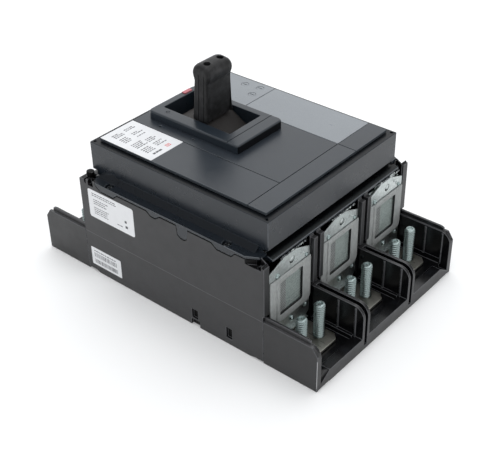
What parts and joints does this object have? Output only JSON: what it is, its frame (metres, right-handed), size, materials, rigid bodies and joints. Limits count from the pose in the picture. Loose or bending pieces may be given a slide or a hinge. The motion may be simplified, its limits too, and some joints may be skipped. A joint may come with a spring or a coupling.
{
  "type": "molded case circuit breaker",
  "caption": "Boxy molded case circuit breaker with a toggle and extension handle, arc chute vents, and open terminal shields with studs at both ends.",
  "frame": {"origin": "centre of the rear mounting face, which is the bottom centre of the bounding box", "axes": "+Z out of the mounting face towards the front, +X across the poles, Y along the current path with the arc chute vents at -Y"},
  "size_m": [0.21, 0.327, 0.2004],
  "materials": {
    "case_plastic": "matte, fine moulded grain, slightly glossy inside the terminal bays",
    "cover_plastic": "satin moulded",
    "facia_plastic": "satin, fine spark-eroded grain",
    "panel_plastic": "satin silver grey",
    "frame_plastic": "satin moulded",
    "handle_plastic": "matte",
    "red_plastic": "satin",
    "inner_plastic": "matte thermoset",
    "zinc_plate": "bright zinc plated",
    "vent_board": "matte fibre board",
    "steel_plate": "plain steel",
    "stud_steel": "bright zinc plated, rolled thread",
    "plated_copper": "tin plated copper"
  },
  "bodies": {
    "housing": {"base_case": "case_plastic", "line_shield": "case_plastic", "load_shield": "case_plastic", "cover": "cover_plastic", "accessory_cover": "facia_plastic", "front_escutcheon": "facia_plastic", "front_strip": "facia_plastic", "corner_strip": "facia_plastic", "trip_unit_panel": "panel_plastic", "trip_unit_window": "panel_plastic", "handle_frame": "frame_plastic", "trip_unit": "inner_plastic", "current_transformer_1": "inner_plastic", "current_transformer_2": "inner_plastic", "current_transformer_3": "inner_plastic", "arc_plate_1": "zinc_plate", "arc_plate_2": "zinc_plate", "arc_plate_3": "zinc_plate", "vent_frame_1": "vent_board", "vent_frame_2": "vent_board", "vent_frame_3": "vent_board", "mechanism_frame": "steel_plate", "main_spring": "steel_plate", "arc_grid_1": "steel_plate", "arc_grid_2": "steel_plate", "arc_grid_3": "steel_plate", "cover_screw_1": "stud_steel", "cover_screw_2": "stud_steel", "cover_screw_3": "stud_steel", "cover_screw_4": "stud_steel", "line_stud_1": "stud_steel", "line_stud_2": "stud_steel", "line_stud_3": "stud_steel", "line_stud_4": "stud_steel", "line_stud_5": "stud_steel", "line_stud_6": "stud_steel", "load_stud_1": "stud_steel", "load_stud_2": "stud_steel", "load_stud_3": "stud_steel", "load_stud_4": "stud_steel", "load_stud_5": "stud_steel", "load_stud_6": "stud_steel", "line_terminal_1": "plated_copper", "line_terminal_2": "plated_copper", "line_terminal_3": "plated_copper", "load_terminal_1": "plated_copper", "load_terminal_2": "plated_copper", "load_terminal_3": "plated_copper"},
    "toggle": {"toggle_drum": "handle_plastic", "extension_handle": "handle_plastic"},
    "contacts": {"contact_shaft": "inner_plastic", "moving_contact_1": "plated_copper", "moving_contact_2": "plated_copper", "moving_contact_3": "plated_copper"},
    "trip_push": {"trip_button": "red_plastic"},
    "dial_1": {"setting_dial_1": "panel_plastic"},
    "dial_2": {"setting_dial_2": "panel_plastic"},
    "dial_3": {"setting_dial_3": "panel_plastic"}
  },
  "joints": [
    {"name": "toggle_hinge", "type": "hinge", "parent": "housing", "child": "toggle", "pos_m": [0, 0.0404, 0.094], "axis": [1, 0, 0], "range_deg": [-30, 24]},
    {"name": "contact_hinge", "type": "hinge", "parent": "housing", "child": "contacts", "pos_m": [0, -0.01, 0.045], "axis": [1, 0, 0], "range_deg": [-15, 18]},
    {"name": "trip_push_slide", "type": "slide", "parent": "housing", "child": "trip_push", "axis": [0, 0, -1], "range_m": [0, 0.002], "stiffness_N_per_m": 400, "springref_m": -0.001},
    {"name": "dial_1_turn", "type": "hinge", "parent": "housing", "child": "dial_1", "pos_m": [0.075, 0.0615, 0.13], "axis": [0, 0, 1], "range_deg": [-135, 135]},
    {"name": "dial_2_turn", "type": "hinge", "parent": "housing", "child": "dial_2", "pos_m": [0.0774, 0.0447, 0.13], "axis": [0, 0, 1], "range_deg": [-135, 135]},
    {"name": "dial_3_turn", "type": "hinge", "parent": "housing", "child": "dial_3", "pos_m": [0.063, 0.0428, 0.13], "axis": [0, 0, 1], "range_deg": [-135, 135]}
  ],
  "couplings": [
    {"joint": "contact_hinge", "follows": "toggle_hinge", "ratio": -0.6}
  ]
}
